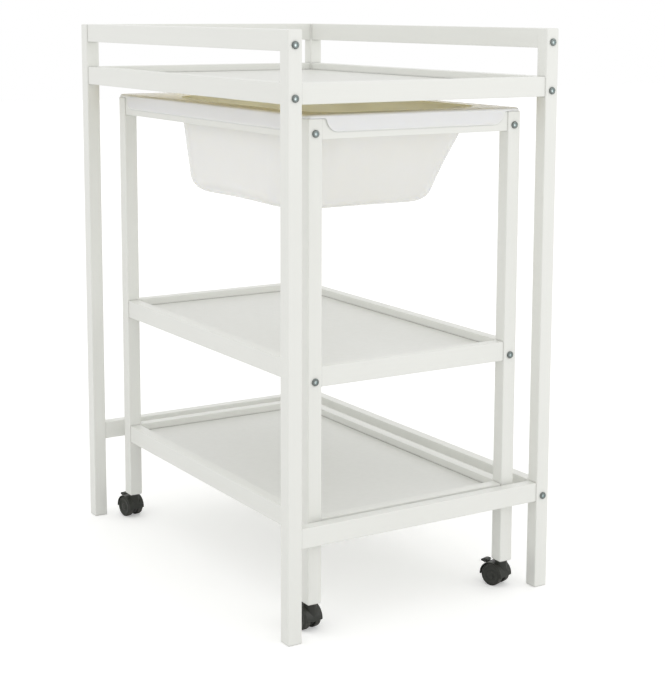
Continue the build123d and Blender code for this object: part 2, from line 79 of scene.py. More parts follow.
camera_data = bpy.data.cameras.new("studio_camera")
camera_data.sensor_width = 36
camera_data.lens = LENS_MM
camera_data.shift_y = SHIFT_DOWN
camera = bpy.data.objects.new("studio_camera", camera_data)
camera.matrix_world = (
    Matrix.Translation(CAMERA_PLACE)
    @ Matrix.Rotation(AZIMUTH, 4, "Z")
    @ Matrix.Rotation(math.pi / 2 - ELEVATION, 4, "X")
    @ Matrix.Rotation(ROLL, 4, "Z")
)
bpy.context.scene.collection.objects.link(camera)
bpy.context.scene.camera = camera
print("camera at", [round(v, 3) for v in camera.matrix_world.translation])

# %% [markdown]
# ## Helpers for shader nodes
#
# Every finish below is a small graph. Building one by hand is a click per node and a drag per
# wire; in code it reads better if one call places a node, sets its choices and joins its inputs.
# Two more calls do the sums that nearly every finish needs, and two make a group and place it.


# %% One call per shader node
def place(tree, kind, wires=None, **choices):
    """Add a shader node. choices are its properties; wires maps an input to a value or an output."""
    made = tree.nodes.new("ShaderNode" + kind)
    for key, value in choices.items():
        setattr(made, key, value)
    for key, value in (wires or {}).items():
        if isinstance(value, bpy.types.NodeSocket):
            tree.links.new(value, made.inputs[key])
        else:
            made.inputs[key].default_value = value
    return made


def multiply(tree, value, by):
    """value times a number or another output."""
    return place(tree, "Math", {0: value, 1: by}, operation="MULTIPLY").outputs[0]


def total(tree, *values):
    """Sum of several outputs or numbers."""
    answer = values[0]
    for value in values[1:]:
        answer = place(tree, "Math", {0: answer, 1: value}, operation="ADD").outputs[0]
    return answer


print("node helpers ready")


# %% Groups of nodes
def new_group(name, inputs, outputs):
    """A shader node group with named sockets, each given as (name, socket type, default)."""
    tree = bpy.data.node_groups.new(name, "ShaderNodeTree")
    for title, kind, default in inputs:
        socket = tree.interface.new_socket(title, in_out="INPUT", socket_type=kind)
        socket.default_value = default
    for title, kind in outputs:
        tree.interface.new_socket(title, in_out="OUTPUT", socket_type=kind)
    return tree, tree.nodes.new("NodeGroupInput"), tree.nodes.new("NodeGroupOutput")


def use_group(tree, name, wires):
    """Place a finished group in a material."""
    return place(tree, "Group", wires, node_tree=bpy.data.node_groups[name])


COLOUR, VALUE, VECTOR = "NodeSocketColor", "NodeSocketFloat", "NodeSocketVector"
print("group helpers ready")

# %% [markdown]
# ## Effects that several finishes share
#
# Nothing in a nursery is one flat colour. Sprayed paint has a fine orange peel and lets a little
# of the grain show through, an arris is polished smoother by hands and gets a painted highlight,
# moulded plastic has the skin of its tool, and dust settles on what faces up. Each effect is one
# group, built once and given its own values by each material. Their noises read Object
# coordinates, which are metres in this model, so a scale of 900 means detail of about a
# millimetre. Edges and joints need no coordinates: one compares a rounded normal with the true
# one, and the other looks for surfaces close by and paints shade there.

# %% Group: grain that shows through paint
tree, given, result = new_group(
    "grain_under_paint",
    [("Stretch", VECTOR, (60, 60, 3))],
    [("Fibre", VALUE)],
)
where = place(tree, "TexCoord").outputs["Object"]
along = place(tree, "VectorMath", {0: where, 1: given.outputs["Stretch"]}, operation="MULTIPLY").outputs[0]
fibres = place(tree, "TexNoise", {"Vector": along, "Scale": 4.0, "Detail": 4.0, "Roughness": 0.6,
                                  "Distortion": 0.3})
bands = place(tree, "TexNoise", {"Vector": along, "Scale": 0.6, "Detail": 2.0, "Distortion": 0.6})
tree.links.new(total(tree, fibres.outputs["Fac"], bands.outputs["Fac"], -1.0), result.inputs["Fibre"])
print("group", tree.name, len(tree.nodes), "nodes")

# %% Group: orange peel and cloudiness of a sprayed or moulded skin
tree, given, result = new_group(
    "skin",
    [("Peel Scale", VALUE, 700.0), ("Cloud Scale", VALUE, 9.0)],
    [("Peel", VALUE), ("Cloud", VALUE)],
)
where = place(tree, "TexCoord").outputs["Object"]
peel = place(tree, "TexNoise", {"Vector": where, "Scale": given.outputs["Peel Scale"], "Detail": 2.0})
cloud = place(tree, "TexNoise", {"Vector": where, "Scale": given.outputs["Cloud Scale"], "Detail": 3.0,
                                 "Roughness": 0.55})
tree.links.new(peel.outputs["Fac"], result.inputs["Peel"])
tree.links.new(total(tree, cloud.outputs["Fac"], -0.5), result.inputs["Cloud"])
print("group", tree.name, len(tree.nodes), "nodes")

# %% Group: how close a point is to an edge
tree, given, result = new_group("arris", [("Width", VALUE, 0.0015)], [("Edge", VALUE)])
rounded = place(tree, "Bevel", {"Radius": given.outputs["Width"]}, samples=4).outputs["Normal"]
true = place(tree, "NewGeometry").outputs["True Normal"]
facing = place(tree, "VectorMath", {0: rounded, 1: true}, operation="DOT_PRODUCT").outputs["Value"]
edge = place(tree, "MapRange", {"Value": facing, "From Min": 0.995, "From Max": 0.80})
tree.links.new(edge.outputs["Result"], result.inputs["Edge"])
print("group", tree.name, len(tree.nodes), "nodes")

# %% Group: painted shade where one piece steps in against another
tree, given, result = new_group("painted_joint_shade", [("Reach", VALUE, 0.003)], [("Joint Shade", VALUE)])
# Ambient occlusion within Reach becomes a mask for painted shade where another surface is near
near = place(tree, "AmbientOcclusion", {"Distance": given.outputs["Reach"]}, samples=8).outputs["AO"]
joint = place(tree, "MapRange", {"Value": near, "From Min": 0.95, "From Max": 0.55})
tree.links.new(joint.outputs["Result"], result.inputs["Joint Shade"])
print("group", tree.name, len(tree.nodes), "nodes")

# %% Group: dust that settles on what faces up
tree, given, result = new_group(
    "settled_dust", [("Amount", VALUE, 0.3), ("Scale", VALUE, 60.0)], [("Dust", VALUE)])
coords = place(tree, "TexCoord")
up = place(tree, "SeparateXYZ", {"Vector": coords.outputs["Normal"]}).outputs["Z"]
lying = place(tree, "MapRange", {"Value": up, "From Min": 0.2, "From Max": 1.0})
specks = place(tree, "TexNoise", {"Vector": coords.outputs["Object"], "Scale": given.outputs["Scale"],
                                  "Detail": 5.0, "Roughness": 0.7})
patchy = place(tree, "MapRange", {"Value": specks.outputs["Fac"], "From Min": 0.35, "From Max": 0.75})
settled = multiply(tree, lying.outputs["Result"], patchy.outputs["Result"])
tree.links.new(multiply(tree, settled, given.outputs["Amount"]), result.inputs["Dust"])
print("group", tree.name, len(tree.nodes), "nodes")

# %% Group: shift a colour lighter or darker, and its roughness with it
tree, given, result = new_group(
    "tone",
    [("Colour", COLOUR, (0.8, 0.8, 0.8, 1)), ("Shift", VALUE, 0.0), ("Roughness", VALUE, 0.4),
     ("Roughness Shift", VALUE, 0.0)],
    [("Colour", COLOUR), ("Roughness", VALUE)],
)
gain = total(tree, given.outputs["Shift"], 1.0)
shifted = place(tree, "VectorMath", {0: given.outputs["Colour"], "Scale": gain}, operation="SCALE")
rough = total(tree, given.outputs["Roughness"], given.outputs["Roughness Shift"])
tree.links.new(shifted.outputs[0], result.inputs["Colour"])
tree.links.new(rough, result.inputs["Roughness"])
print("group", tree.name, len(tree.nodes), "nodes")

# %% [markdown]
# ## White paint on beech
#
# The posts and rails are sprayed with a satin white that leans a little to warm green. A rail's
# fibres run along its length, so the same recipe is made three times, for pieces along X, Y and
# Z. The alternative is one material with a rotated mapping on each object, which would slide
# if a piece were re-used. The arris is smoother and carries a painted highlight, as on the
# photographed rails, and a faint line of painted shade follows each joint between two pieces.


# %% Begin and finish a material
def start_material(name):
    """A new material with its Principled shader joined to the output."""
    material = bpy.data.materials.new(name)
    material.use_nodes = True
    return material, material.node_tree, material.node_tree.nodes["Principled BSDF"]


def finish(tree, shader, colour, roughness, bump):
    """Join a worked-out colour, roughness and bump to the Principled shader."""
    tree.links.new(colour, shader.inputs["Base Color"])
    tree.links.new(roughness, shader.inputs["Roughness"])
    tree.links.new(bump.outputs["Normal"], shader.inputs["Normal"])


print("material helpers ready")

# %% Painted wood
PAINT = (0.862, 0.867, 0.828, 1)


def painted_wood(name, stretch):
    """Satin paint: colour times (1 + grain + cloud + painted edge highlight - painted joint shade), with
    peel and grain as bump.
    """
    material, tree, shader = start_material(name)
    fibre = use_group(tree, "grain_under_paint", {"Stretch": stretch}).outputs["Fibre"]
    skin = use_group(tree, "skin", {"Peel Scale": 650.0, "Cloud Scale": 7.0})
    edge = use_group(tree, "arris", {"Width": 0.0016}).outputs["Edge"]
    joint = use_group(tree, "painted_joint_shade", {"Reach": 0.0035}).outputs["Joint Shade"]
    # The edge term lifts the colour at each arris as a painted highlight; the joint term darkens it as
    # painted shade where pieces meet.
    shift = total(tree, multiply(tree, fibre, 0.022),
                  multiply(tree, skin.outputs["Cloud"], 0.035), multiply(tree, edge, 0.045),
                  multiply(tree, joint, -0.22))
    gloss = total(tree, multiply(tree, skin.outputs["Cloud"], 0.12), multiply(tree, edge, -0.08))
    tone = use_group(tree, "tone", {"Colour": PAINT, "Shift": shift, "Roughness": 0.36,
                                    "Roughness Shift": gloss})
    height = total(tree, multiply(tree, skin.outputs["Peel"], 0.35), multiply(tree, fibre, 0.5))
    bump = place(tree, "Bump", {"Height": height, "Strength": 0.22, "Distance": 0.0002})
    finish(tree, shader, tone.outputs["Colour"], tone.outputs["Roughness"], bump)
    shader.inputs["Coat Weight"].default_value = 0.12
    shader.inputs["Coat Roughness"].default_value = 0.22
    return material


ALONG, ACROSS = 4, 110
paint_along = {
    "x": painted_wood("paint_along_x", (ALONG, ACROSS, ACROSS)),
    "y": painted_wood("paint_along_y", (ACROSS, ALONG, ACROSS)),
    "z": painted_wood("paint_along_z", (ACROSS, ACROSS, ALONG)),
}
print("paint in", sorted(paint_along), "directions")

# %% [markdown]
# ## Lacquered fibreboard
#
# The changing board and both shelves are thin fibreboard with a white lacquer. Its colour is a
# shade greyer than the posts on the changing board, which is painted shade on its top, and
# lighter on the shelves, which is painted light on boards that lie in shade. The changing
# board's underside is left raw and tan, which tints the shadow in the gap above the bath, and
# the shelves are white below too. One recipe does both by asking which way the surface faces.
# Where a board meets its rails, a thin dark line of painted shade runs along the joint: the
# shader looks for neighbours within a few millimetres and darkens there, which saves modelling
# a groove that is narrower than a hair.

# %% Boards
# One lacquer in two colours: the changing board's white is darkened as painted shade, the shelves' white
# lightened as painted light.
BOARD_WHITE_WITH_PAINTED_SHADE = (0.765, 0.768, 0.73, 1)
SHELF_WHITE_WITH_PAINTED_LIGHT = (0.83, 0.833, 0.80, 1)
RAW_FIBRE = (0.74, 0.64, 0.38, 1)


def lacquered(name, top, underside):
    """Lacquer on top, another colour below, and a line of painted shade along the joints."""
    material, tree, shader = start_material(name)
    coords = place(tree, "TexCoord")
    up = place(tree, "SeparateXYZ", {"Vector": coords.outputs["Normal"]}).outputs["Z"]
    below = place(tree, "MapRange", {"Value": up, "From Min": -0.4, "From Max": -0.6}).outputs["Result"]
    joint = use_group(tree, "painted_joint_shade", {"Reach": 0.003}).outputs["Joint Shade"]
    skin = use_group(tree, "skin", {"Peel Scale": 420.0, "Cloud Scale": 5.0})
    dust = use_group(tree, "settled_dust", {"Amount": 0.10, "Scale": 90.0}).outputs["Dust"]
    chips = place(tree, "TexNoise", {"Vector": coords.outputs["Object"], "Scale": 320.0, "Detail": 6.0,
                                     "Roughness": 0.75})
    chip = total(tree, chips.outputs["Fac"], -0.5)
    # The joint term darkens the top as painted shade along the board's joints with its rails.
    white = use_group(tree, "tone", {
        "Colour": top, "Roughness": 0.34,
        "Shift": total(tree, multiply(tree, skin.outputs["Cloud"], 0.03), multiply(tree, dust, -0.25),
                       multiply(tree, joint, -0.45)),
        "Roughness Shift": total(tree, multiply(tree, skin.outputs["Cloud"], 0.12), dust)})
    other = use_group(tree, "tone", {
        "Colour": underside, "Roughness": 0.72,
        "Shift": multiply(tree, chip, 0.35), "Roughness Shift": multiply(tree, chip, 0.3)})
    face = place(tree, "Mix", {0: below, 6: white.outputs["Colour"], 7: other.outputs["Colour"]},
                 data_type="RGBA")
    rough = place(tree, "Mix", {0: below, 2: white.outputs["Roughness"], 3: other.outputs["Roughness"]})
    height = total(tree, multiply(tree, skin.outputs["Peel"], 0.5), multiply(tree, chip, 1.2))
    bump = place(tree, "Bump", {"Height": height, "Strength": 0.14, "Distance": 0.0003})
    finish(tree, shader, face.outputs[2], rough.outputs[0], bump)
    return material


both_sides = lacquered("lacquered_both_sides", SHELF_WHITE_WITH_PAINTED_LIGHT, SHELF_WHITE_WITH_PAINTED_LIGHT)
board_finish = {
    "changing_board": lacquered("lacquered_raw_below", BOARD_WHITE_WITH_PAINTED_SHADE, RAW_FIBRE),
    "middle_shelf_board": both_sides,
    "lower_shelf_board": both_sides,
}
print("board finishes for", sorted(board_finish))

# %% [markdown]
# ## Metal, bare wood and the plastics
#
# The bolts are zinc plated, which looks grey with a faint spangle. The dowels inside the joints
# are bare beech. The bath is glossy polypropylene, the drain parts are matt mouldings, the plug
# is soft rubber, and the casters are black nylon that shows scuffs on its treads.


# %% A recipe for moulded and plated skins
DUST_GREY = (0.42, 0.40, 0.36, 1)


def skinned(name, colour, roughness, peel_scale, peel_depth, cloud_tone=0.03, cloud_gloss=0.1,
            edge_tone=0.0, dust_amount=0.0):
    """Colour and roughness moved by a cloud, an edge and dust, with a fine peel as bump."""
    material, tree, shader = start_material(name)
    skin = use_group(tree, "skin", {"Peel Scale": peel_scale, "Cloud Scale": 14.0})
    edge = use_group(tree, "arris", {"Width": 0.0012}).outputs["Edge"]
    shift = total(tree, multiply(tree, skin.outputs["Cloud"], cloud_tone), multiply(tree, edge, edge_tone))
    tone = use_group(tree, "tone", {
        "Colour": colour, "Roughness": roughness, "Shift": shift,
        "Roughness Shift": multiply(tree, skin.outputs["Cloud"], cloud_gloss)})
    dust = use_group(tree, "settled_dust", {"Amount": dust_amount, "Scale": 220.0}).outputs["Dust"]
    mixed = place(tree, "Mix", {0: dust, 6: tone.outputs["Colour"], 7: DUST_GREY}, data_type="RGBA")
    bump = place(tree, "Bump", {"Height": skin.outputs["Peel"], "Strength": peel_depth,
                                "Distance": 0.0002})
    finish(tree, shader, mixed.outputs[2], tone.outputs["Roughness"], bump)
    return material, tree, shader


print("recipe for skins ready")

# %% Zinc, steel, dowels
zinc, tree, shader = skinned("zinc_plate", (0.52, 0.55, 0.56, 1), 0.30, 1500.0, 0.10,
                             cloud_tone=0.25, cloud_gloss=0.25)
shader.inputs["Metallic"].default_value = 1.0
steel, tree, shader = skinned("turned_steel", (0.55, 0.54, 0.52, 1), 0.26, 2500.0, 0.15,
                              cloud_tone=0.12, cloud_gloss=0.2)
shader.inputs["Metallic"].default_value = 1.0

BEECH = (0.56, 0.37, 0.20, 1)
bare_beech, tree, shader = start_material("bare_beech")
fibre = use_group(tree, "grain_under_paint", {"Stretch": (110, 6, 110)}).outputs["Fibre"]
tone = use_group(tree, "tone", {"Colour": BEECH, "Shift": multiply(tree, fibre, 0.5),
                                "Roughness": 0.62, "Roughness Shift": multiply(tree, fibre, 0.2)})
bump = place(tree, "Bump", {"Height": fibre, "Strength": 0.3, "Distance": 0.0004})
finish(tree, shader, tone.outputs["Colour"], tone.outputs["Roughness"], bump)
print("metals and bare beech ready")

# %% Plastics and rubber
NYLON_BLACK = (0.021, 0.023, 0.018, 1)
bath_white, tree, shader = skinned("bath_polypropylene", (0.940, 0.943, 0.902, 1), 0.24, 260.0, 0.05,
                                   cloud_tone=0.012, cloud_gloss=0.08, edge_tone=0.02)
shader.inputs["Coat Weight"].default_value = 0.25
shader.inputs["Coat Roughness"].default_value = 0.12
shader.inputs["Subsurface Weight"].default_value = 1.0
shader.inputs["Subsurface Radius"].default_value = (1.0, 0.98, 0.90)
shader.inputs["Subsurface Scale"].default_value = 0.0035
drain_white = skinned("drain_moulding", (0.76, 0.76, 0.73, 1), 0.42, 900.0, 0.12)[0]
soft_rubber = skinned("plug_rubber", (0.68, 0.68, 0.65, 1), 0.62, 1200.0, 0.25, cloud_tone=0.05)[0]
nylon = skinned("black_nylon", NYLON_BLACK, 0.46, 1100.0, 0.35, cloud_tone=0.25, cloud_gloss=0.15,
                edge_tone=0.5, dust_amount=0.16)[0]
print("plastics ready")

# %% [markdown]
# ## Dressing the CAD nodes
#
# A node's finish follows its name: rails on the left and right run along Y, those at the front
# and back along X, and posts stand along Z.

# %% Assign finishes
def finish_of(name):
    """The material of a CAD node, chosen by what it is and which way it runs."""
    if name in board_finish:
        return board_finish[name]
    if "dowels" in name:
        return bare_beech
    if "bolts" in name or "nuts" in name or "sockets" in name:
        return zinc
    if name.startswith("caster_stem"):
        return steel
    if name.startswith("caster"):
        return nylon
    if name == "bathtub":
        return bath_white
    if name == "drain_plug":
        return soft_rubber
    if name.startswith("drain"):
        return drain_white
    if "post" in name:
        return paint_along["z"]
    return paint_along["x" if name.endswith(("front", "back")) else "y"]


for name, node in nodes.items():
    node.data.materials.clear()
    node.data.materials.append(finish_of(name))
print("finishes on", len(nodes), "nodes")

# %% [markdown]
# ## Skins over rings
#
# A bath, a wheel and a bolt head are all the same construction: a stack of closed rings, each
# row of points joined to the next by quads. For a full solid the two end rings are capped. For
# something with a hole through it, such as the bath with its drain, the last ring joins the
# first. A mesh modelled by hand or a lathe tool would do the same, but here the whole stack is
# one array, so a change of a radius moves every point at once.


# %% Faces between rings, and whether they point outwards
def ring_faces(rows, around, looped):
    """Vertex numbers of the quads between rings, and of the two caps if the stack isn't looped."""
    row = np.arange(rows if looped else rows - 1)[:, None]
    column = np.arange(around)[None, :]
    after, above = (column + 1) % around, (row + 1) % rows
    quads = np.stack([row * around + column, row * around + after,
                      above * around + after, above * around + column], axis=-1).reshape(-1, 4)
    faces = quads.tolist()
    if not looped:
        ring = np.arange(around)
        faces += [ring[::-1].tolist(), (ring + (rows - 1) * around).tolist()]
    return faces


def volume_of(points, faces):
    """Signed volume: a sixth of the sum of p0 . (p1 x p2) over the triangles of every face."""
    answer = 0.0
    quads = np.array([f for f in faces if len(f) == 4])
    for a, b, c in ((0, 1, 2), (0, 2, 3)):
        p, q, r = points[quads[:, a]], points[quads[:, b]], points[quads[:, c]]
        answer += np.einsum("ij,ij->i", p, np.cross(q, r)).sum() / 6
    for face in (f for f in faces if len(f) != 4):
        fan = points[np.array(face)]
        answer += np.einsum("ij,ij->i", np.broadcast_to(fan[0], fan[1:-1].shape),
                            np.cross(fan[1:-1], fan[2:])).sum() / 6
    return answer


print("a stack of 3 rings of 8 points has", len(ring_faces(3, 8, False)), "faces")


# %% Rings to a mesh
def skin_of_rings(name, stacks, material, sharp_degrees):
    """One object from several ring stacks, each (rows x around x 3 array, looped or not)."""
    points, faces = [], []
    for stack, looped in stacks:
        rows, around = stack.shape[:2]
        own = ring_faces(rows, around, looped)
        flat = stack.reshape(-1, 3)
        if volume_of(flat, own) < 0:
            own = [face[::-1] for face in own]
        start = sum(len(p) for p in points)
        faces += [[v + start for v in face] for face in own]
        points.append(flat)
    mesh = bpy.data.meshes.new(name)
    mesh.from_pydata(np.concatenate(points).tolist(), [], faces)
    mesh.validate()
    mesh.shade_smooth()
    mesh.set_sharp_from_angle(angle=math.radians(sharp_degrees))
    mesh.materials.append(material)
    made = bpy.data.objects.new(name, mesh)
    bpy.context.scene.collection.objects.link(made)
    return made


print("ring tools ready")

# %% [markdown]
# ## The bath
#
# The bath is one sheet of plastic about 3 mm thick. Its bowl has a long sloping end for the
# baby's back towards -Y and a steep end for the feet, joined to a flat rim by a small lip. The
# rim's edge turns down into a skirt that hides the rails, and the skirt sweeps up in an ogee
# beside each post. From above, each level is a rectangle with rounded corners, so the reach from
# the centre along an angle has a formula. The rings run from the drain hole over the floor, up
# the wall, across the rim, down the skirt and back underneath to the hole: one looped stack,
# closed everywhere. Box modelling with subdivision would round the ogee away.
#
# The sizes are those of the CAD solid, so that the skin lies on it. Only the rim's edge is
# rounded more softly here, which gives it the gentle highlight of a moulding.

# %% Bath sizes in metres, and the reach of a rounded rectangle
MM = 0.001
BATH = dict(half=0.214, front=-0.374, back=0.354, rim_top=0.864, depth=0.175, sheet=0.003)
TOP = dict(side=0.034, front=0.034, back=0.107, front_radius=0.080, back_radius=0.125)
FOOT = dict(side=0.052, front=0.152, back=0.124, front_radius=0.074, back_radius=0.120)
BATH_CENTRE_Y = -0.010
POST = 0.026
SKIRT = dict(height=0.0282, short=0.006, thickness=0.0022, start=0.0035, sweep=0.027,
             shoulder=0.005, corner=0.008, edge=0.005)
DRAIN = dict(y=0.135, radius=0.0193)
DISH = dict(half_x=0.115, half_y=0.025, centre_y=0.28875, corner=0.014, wall=0.009, depth=0.012)


def reach(angles, half, front, back, front_radius, back_radius):
    """Distance from the bath's centre to a rounded rectangle along each angle.

    It is the nearer of the side line and the end line, or, where that point lies beyond a
    corner's arc centre both ways, the far root of the ray's quadratic with the arc's circle."""
    dx, dy = np.cos(angles), np.sin(angles)
    end = np.where(dy > 0, back, front) - BATH_CENTRE_Y
    with np.errstate(divide="ignore"):
        straight = np.minimum(half / np.abs(dx), end / dy)
    radius = np.where(dy > 0, back_radius, front_radius)
    arc_x = np.sign(dx) * (half - radius)
    arc_y = end - np.sign(dy) * radius
    x, y = straight * dx, straight * dy
    cornered = (np.abs(x) > half - radius) & (y * np.sign(dy) > arc_y * np.sign(dy))
    b = dx * arc_x + dy * arc_y
    q = arc_x**2 + arc_y**2 - radius**2
    return np.where(cornered, b + np.sqrt(np.maximum(b * b - q, 0)), straight)


print("bath", round(2 * BATH["half"], 3), "by", round(BATH["back"] - BATH["front"], 3), "m")


# %% Outlines of the bowl and of the rim
def bowl_reach(angles, level, inwards):
    """Reach of the bowl's wall at a level: every margin and radius runs straight from foot to top."""
    share = (level - (BATH["rim_top"] - BATH["depth"])) / BATH["depth"]
    at = {key: FOOT[key] + (TOP[key] - FOOT[key]) * share for key in TOP}
    return reach(angles, BATH["half"] - at["side"] - inwards, BATH["front"] + at["front"] + inwards,
                 BATH["back"] - at["back"] - inwards, at["front_radius"] - inwards,
                 at["back_radius"] - inwards)


def rim_reach(angles, inwards):
    """Reach of the rim's outline, drawn in by a distance."""
    radius = np.maximum(SKIRT["corner"] - inwards, 0.001)
    return reach(angles, BATH["half"] - inwards, BATH["front"] + inwards, BATH["back"] - inwards,
                 radius, radius)


print("rim's reach to its side and back", rim_reach(np.array([0.0, math.pi / 2]), 0).round(4))


# %% Angles that crowd where the skirt sweeps and the rim turns
def side_places(length):
    """Distances along one side of the rim, close together beside each post."""
    near = np.concatenate([np.arange(8, 29, 3), np.arange(29, 32, 1), np.arange(32, 38, 0.5),
                           np.arange(38, 48, 1.25), np.arange(48, 60, 2)]) * MM
    middle = np.linspace(0.060, length - 0.060, int((length - 0.120) / 0.006))
    return np.concatenate([near, middle, (length - near)[::-1]])


wide, deep = 2 * BATH["half"], BATH["back"] - BATH["front"]
xs, ys = side_places(wide) - BATH["half"], side_places(deep) + BATH["front"]
quarter = np.linspace(0, math.pi / 2, 8)[1:-1]
corner_x = BATH["half"] - SKIRT["corner"] * (1 - np.cos(quarter))
corner_y = -SKIRT["corner"] * (1 - np.sin(quarter))
plan = np.concatenate([
    np.stack([np.full_like(ys, BATH["half"]), ys], 1),
    np.stack([corner_x, BATH["back"] + corner_y], 1),
    np.stack([xs[::-1], np.full_like(xs, BATH["back"])], 1),
    np.stack([-corner_x[::-1], BATH["back"] + corner_y[::-1]], 1),
    np.stack([np.full_like(ys, -BATH["half"]), ys[::-1]], 1),
    np.stack([-corner_x, BATH["front"] - corner_y], 1),
    np.stack([xs, np.full_like(xs, BATH["front"])], 1),
    np.stack([corner_x[::-1], BATH["front"] - corner_y[::-1]], 1),
])
angles = np.unwrap(np.arctan2(plan[:, 1] - BATH_CENTRE_Y, plan[:, 0]))
print(len(angles), "columns round the bath")


# %% Levels of the skirt's lower edge
def skirt_foot(x, y):
    """Height of the skirt's edge: the post's top beside a post, then a tight and a wide arc.

    Both arcs turn by the angle whose half has drop over run as its tangent. Along the edge the
    height falls from the top by R - sqrt(R^2 - s^2) and rises from the foot in the same way."""
    low, high = BATH["rim_top"] - SKIRT["height"], BATH["rim_top"] - SKIRT["short"]
    drop, run = high - low, SKIRT["sweep"]
    turn = 2 * math.atan(drop / run)
    tight = SKIRT["shoulder"]
    wide_arc = run / math.sin(turn) - tight
    meet = tight * math.sin(turn)
    from_side = BATH["half"] - np.abs(x)
    from_end = np.minimum(y - BATH["front"], BATH["back"] - y)
    s = np.clip(np.maximum(from_side, from_end) - POST - SKIRT["start"], 0, run)
    early = high - (tight - np.sqrt(tight**2 - np.minimum(s, meet) ** 2))
    late = low + (wide_arc - np.sqrt(wide_arc**2 - np.minimum(run - s, run - meet) ** 2))
    return np.where(s < meet, early, late)


def soap_dish(x, y):
    """Depth of the shallow dish in the wide rim: a rounded rectangle whose walls ease in and out.

    With t the share of the wall that a point has passed, the depth is t * t * (3 - 2 t)."""
    away_x = np.abs(x) - (DISH["half_x"] - DISH["corner"])
    away_y = np.abs(y - DISH["centre_y"]) - (DISH["half_y"] - DISH["corner"])
    outside = np.hypot(np.maximum(away_x, 0), np.maximum(away_y, 0)) + np.minimum(
        np.maximum(away_x, away_y), 0)
    inside = np.clip((DISH["corner"] - outside) / DISH["wall"], 0, 1)
    return DISH["depth"] * inside**2 * (3 - 2 * inside)


print("skirt foot", skirt_foot(np.array([0.0, BATH["half"]]), np.array([BATH["back"]] * 2)))

# %% [markdown]
# ### The bath's rings
#
# Each part of the sheet is a few rings. They are made in the order in which a finger would
# travel: out from the drain, up the wall, over the rim, down the skirt, and back underneath.


# %% Points of a ring, and even steps between two of them
def polar(distance, level):
    """Points of one ring or several, from reach and height along the bath's angles."""
    distance, level = np.broadcast_arrays(distance, level)
    return np.stack([distance * np.cos(angles), BATH_CENTRE_Y + distance * np.sin(angles), level], -1)


def steps(count):
    """A column of even shares that starts just after 0 and ends at 1."""
    return np.linspace(0, 1, count + 1)[1:, None]


rim_top, sheet = BATH["rim_top"], BATH["sheet"]
under, plate_under = rim_top - BATH["depth"], rim_top - sheet
print("bowl's underside at", round(under, 4), "rim's at", round(plate_under, 4))


# %% The bowl's bend, wall and floor
def bowl_bend(floor, top, inwards, bend):
    """Rings round the bend at the floor, the wall's lean from upright, and its reach at the top.

    With the wall leaning out by b, the bend starts bend * (1 - sin b) / cos b inside the foot."""
    foot, head = bowl_reach(angles, floor, inwards), bowl_reach(angles, top, inwards)
    lean = np.arctan2(head - foot, top - floor)
    start = foot - bend * (1 - np.sin(lean)) / np.cos(lean)
    phi = -math.pi / 2 + np.linspace(0, 1, BEND_ROWS)[:, None] * (math.pi / 2 - lean)
    return polar(start + bend * np.cos(phi), floor + bend + bend * np.sin(phi)), lean, head


def bowl_wall(floor, top, bend, lean, head, stop):
    """Rings up the straight wall to the level stop: reach = head - (top - level) * tan(lean).

    They start where the bend ends, at floor + bend * (1 - sin(lean))."""
    first = floor + bend * (1 - np.sin(lean))
    level = first + (stop - first) * steps(WALL_ROWS)
    return polar(head - (top - level) * np.tan(lean), level)


def floor_rings(edge, level, rows):
    """Rings from the drain hole out to the floor's edge, each a blend of hole and edge."""
    hole = np.stack([DRAIN["radius"] * np.cos(angles), DRAIN["y"] + DRAIN["radius"] * np.sin(angles),
                     np.full_like(angles, level)], -1)
    blend = np.linspace(0, 1, rows, endpoint=False)[:, None, None]
    return hole + (edge - hole) * blend


BEND_ROWS, WALL_ROWS, LIP_ROWS, FLAT_ROWS, SKIRT_ROWS = 10, 12, 5, 32, 6
BEND_INSIDE, BEND_OUTSIDE, LIP = 0.031, 0.034, 0.0024
print("bends of", BEND_INSIDE, "and", BEND_OUTSIDE, "m")

# %% Inside of the bowl, from the drain to the lip
bent, lean, mouth = bowl_bend(under + sheet, rim_top, sheet, BEND_INSIDE)
tangent = LIP * np.tan((math.pi / 2 - lean) / 2)
wall = bowl_wall(under + sheet, rim_top, BEND_INSIDE, lean, mouth, rim_top - tangent * np.cos(lean))
phi = math.pi - lean + steps(LIP_ROWS) * (lean - math.pi / 2)
lip = polar(mouth + tangent + LIP * np.cos(phi), rim_top - LIP + LIP * np.sin(phi))
inside = [floor_rings(bent[0], under + sheet, 9), bent, wall, lip]
print("steepest wall leans", round(math.degrees(lean.min()), 1), "degrees, the back rest",
      round(math.degrees(lean.max()), 1))

# %% Across the rim and over its edge
outward = steps(FLAT_ROWS)
flat = polar((mouth + tangent) * (1 - outward) + rim_reach(angles, SKIRT["edge"]) * outward, rim_top)
flat[..., 2] -= soap_dish(flat[..., 0], flat[..., 1])
fall = math.pi / 2 * steps(5)
edge = polar(rim_reach(angles, SKIRT["edge"] * (1 - np.sin(fall))),
             rim_top - SKIRT["edge"] * (1 - np.cos(fall)))
print("rim", flat.shape, "edge", edge.shape)

# %% Down the skirt, round its thin lower edge and up inside
rim_line = polar(rim_reach(angles, 0), rim_top)
foot = skirt_foot(rim_line[:, 0], rim_line[:, 1])
below, SOFT = rim_top - SKIRT["edge"], 0.0007
skirt_out = polar(rim_reach(angles, 0), below + (foot + SOFT - below) * steps(SKIRT_ROWS))
hem = [(0.0003, 0.0002), (0.0008, 0), (0.0014, 0), (0.0019, 0.0002)]  # (inset, lift) per ring
skirt_edge = np.stack([polar(rim_reach(angles, inset), foot + lift) for inset, lift in hem])
climb = np.linspace(0, 1, SKIRT_ROWS)[:, None]
skirt_in = polar(rim_reach(angles, SKIRT["thickness"]),
                 foot + SOFT + (plate_under - foot - SOFT) * climb)
print("skirt hangs", round((rim_top - foot.min()) / MM, 1), "mm, and",
      round((rim_top - foot.max()) / MM, 1), "mm beside a post")

